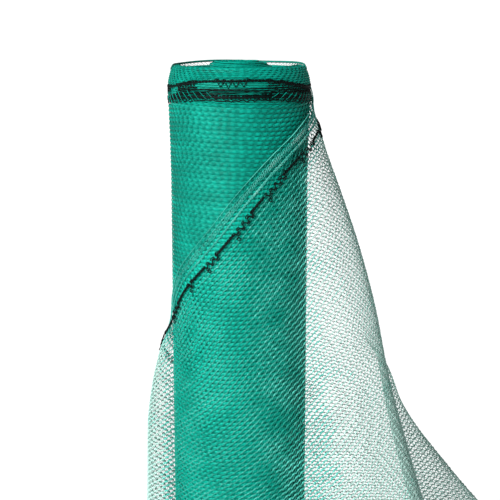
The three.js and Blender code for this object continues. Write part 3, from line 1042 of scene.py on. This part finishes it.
def add_loose_row(yarns, row):
    """The stitches of a row. Where they rest on the roll they lean the other way."""
    number, angle, up = row.places(STITCH / 2)
    if len(number) < 3:
        return
    width, depth, lean, lift = stitch_profile(number, LOOSE_YARN)
    size = 1 + spread(LOOSE_SPREAD["width"], len(number))
    up = np.maximum(up + lean * (1 - 2 * resting(angle, up)), HEM_UP)
    free = hanging(angle, up)
    tint = spread(LOOSE_SPREAD["row_tint"]) + spread(LOOSE_SPREAD["tint"], len(number))
    tint = tint * (1 - LOOSE_SPREAD["evened"] * free) + loose_painted_light(angle, up)
    full = fullness(angle, up)
    yarn = width * size * full, depth * full * blend(FLATTENED, 1, free)
    add_sheet_yarn(yarns, angle, up, lift, yarn, tint=tint)


def add_core_yarns(yarns, row):
    """Two yarns that run straight through a row, one at each face of the net."""
    number, angle, up = row.places(2 * STITCH)
    if len(number) < 2:
        return
    full = fullness(angle, up) + CORE_ON_ROLL * resting(angle, up)
    tint = loose_painted_light(angle, up)
    for side in CORE_SIDES:
        add_sheet_yarn(yarns, angle, up, side, LOOSE_YARN["core"], full, tint)


def add_loose_inlay(yarns, upper, lower):
    """An inlaid yarn that zigzags between two rows, as far as both of them reach."""
    number, angle, _ = lower.places(STITCH)
    shared = (angle <= upper.angle[0]) & (angle >= upper.angle[-1])
    number, angle = number[shared], angle[shared]
    if len(number) < 3:
        return
    up = np.where(number % 2, upper.height(angle), lower.height(angle))
    tint = spread(LOOSE_SPREAD["inlay_tint"]) + loose_painted_light(angle, up)
    full = fullness(angle, up)
    add_sheet_yarn(yarns, angle, up, -INLAY_BEHIND, LOOSE_YARN["inlay"], full, tint)


def band_drawn(angle):
    """The edge strip's bands are drawn out on the right and get thin towards the left."""
    return blend(BAND_LEAST, 1, smooth_step(angle, *BAND_THINS))


def add_edge_row(yarns, row):
    """The net's selvedge, a plain cord."""
    _, angle, up = row.places(STITCH)
    drawn = band_drawn(angle)
    add_sheet_yarn(yarns, angle, up, 0, SELVEDGE["yarn"], drawn, SELVEDGE["tint"] * drawn)


def add_close_band(yarns, rows, place, reach):
    """A band of the edge strip, filled by two yarns that cross."""
    below = math.ceil(place)
    number, angle, up = rows[below].places(STITCH)
    above = rows[math.floor(place)].height(angle)
    up = blend(up, above, below - place)
    drawn = band_drawn(angle)
    tint = CLOSE_BAND["tint"] * drawn
    for phase in (0, 1):
        side = np.where((number + phase) % 2, reach, -reach)
        side = side * (1 + spread(CLOSE_BAND["spread"], len(number)))
        add_sheet_yarn(
            yarns, angle, up + side, CLOSE_BAND["out"], CLOSE_BAND["yarn"], drawn, tint)


def add_hem(yarns):
    angle = LOOSE_ANGLES[::2]
    up = np.full(len(angle), HEM_UP)
    add_sheet_yarn(yarns, angle, up, 0, HEM_YARN)


def make_loose_net(rows, material):
    """The loose end, in three strips of rows that make one sheet."""
    done = np.cumsum([row.length for row in rows])
    pieces = []
    for part in range(LOOSE_PIECES):
        inside = done > done[-1] * part / LOOSE_PIECES
        inside &= done <= done[-1] * (part + 1) / LOOSE_PIECES
        chosen = np.flatnonzero(inside)
        yarns = Yarns()
        for index in chosen:
            if index == 0:
                add_edge_row(yarns, rows[index])
            elif index not in (OPEN_ROW, BRAID_ROW):
                add_loose_row(yarns, rows[index])
                add_core_yarns(yarns, rows[index])
            if index + 1 < len(rows):
                add_loose_inlay(yarns, rows[index], rows[index + 1])
        if part == 0:
            for place, reach in CLOSE_BANDS:
                add_close_band(yarns, rows, place, reach)
        if part == LOOSE_PIECES - 1:
            add_hem(yarns)
        obj = yarns.piece(f"loose_net_{part + 1}", material)
        pieces.append(obj)
    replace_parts(pieces[0], "loose_net")


def add_stray_end(yarns, route, start):
    """A stray end of yarn that hangs from the braid."""
    along = 1.2
    drop = 5.5
    out = 1.4
    lift = 0.8
    yarn = 1.2
    share = np.linspace(0, 1, 6)
    route.lay(yarns, start + along * share ** 2, -drop * share, out + lift * share, yarn)


def make_loose_braid(rows, material):
    """The black braid along the loose end, a chain that turns to lace in stretches."""
    row = rows[BRAID_ROW]
    route = Route(sheet_points(row.angle, row.up), sheet_normals(row.angle, row.up))
    yarns = Yarns()
    done = 0.0
    for start, end in LOOSE_LACE:
        first, last = np.interp((-start, -end), -row.angle, route.lengths)
        add_chain(yarns, route, done, first + STITCH, **LOOSE_CHAIN)
        add_lace(yarns, route, first, last, LOOSE_LACE_OUT, LOOSE_LACE_DROP)
        done = last - STITCH
    add_chain(yarns, route, done, route.total, **LOOSE_CHAIN)
    add_stray_end(yarns, route, np.interp(-STRAY_ANGLE, -row.angle, route.lengths))
    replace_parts(yarns.piece("braid_loose", material), "edge_braid_loose")


# The stage

def make_floor():
    """A wide pale floor, turned up a little at its far edges."""
    half = 25.0
    rim = 2.0
    corners = [(-half, -half), (half, -half), (half, half), (-half, half)]
    points = [(x, y, up) for up in (0, rim) for x, y in corners]
    walls = [(i, (i + 1) % 4, (i + 1) % 4 + 4, i + 4) for i in range(4)]
    mesh = bpy.data.meshes.new("floor")
    mesh.from_pydata(points, [], [(0, 1, 2, 3)] + walls)
    mesh.materials.append(floor_material())
    floor = add_object("floor", mesh)


def make_lights():
    """Faint light from all round, and a broad lamp from the upper left."""
    world = bpy.data.worlds.new("studio")
    world.use_nodes = True
    set_inputs(world.node_tree.nodes["Background"], {"Color": (1, 1, 1, 1), "Strength": 0.18})
    bpy.context.scene.world = world
    key = bpy.data.lights.new("key", "SUN")
    key.energy = 6.4
    key.angle = math.radians(25)
    lamp = add_object("key", key)
    lamp.rotation_euler = (math.radians(65), 0, math.radians(-40))


def make_camera():
    """The photo's view, from a little above the roll's top."""
    downward = 12.08
    lens = bpy.data.cameras.new("photo_view")
    lens.lens = 90
    lens.sensor_width = 36
    camera = add_object("photo_view", lens)
    camera.location = (0.0089, -1.0, 0.564)
    camera.rotation_euler = (math.radians(90 - downward), 0, 0)
    bpy.context.scene.camera = camera


make_camera()
make_lights()
make_floor()
bpy.context.scene.view_settings.view_transform = "Standard"

green_yarn = yarn_material(
    "green_yarn", linear(0, 97, 83), linear(6, 152, 132),
    roughness=0.5, patch_scale=45, specular=0.05)
# The loose yarn's pale end carries the painted light where the net hangs beside the roll.
loose_yarn = yarn_material(
    "loose_green_yarn", linear(5, 126, 110), linear(83, 181, 167),
    roughness=0.45, patch_scale=45, specular=0.12, pale=linear(160, 195, 186))
cord_yarn = yarn_material(
    "dark_green_yarn", linear(10, 96, 82), linear(28, 136, 120),
    roughness=0.45, patch_scale=60, specular=0.15)
black_yarn = yarn_material(
    "black_yarn", linear(1, 9, 8), linear(6, 20, 18),
    roughness=0.5, patch_scale=60, specular=0.08)
wound_green = wound_material("wound_green", linear(2, 108, 92), linear(8, 146, 127))

make_core(wound_green)
make_roll_net(green_yarn)
make_wound_end(green_yarn)
make_edge_cord(cord_yarn)
make_braid_turn_1(black_yarn)
make_braid_turn_2(black_yarn)
net_rows = loose_rows()
make_loose_net(net_rows, loose_yarn)
make_loose_braid(net_rows, black_yarn)
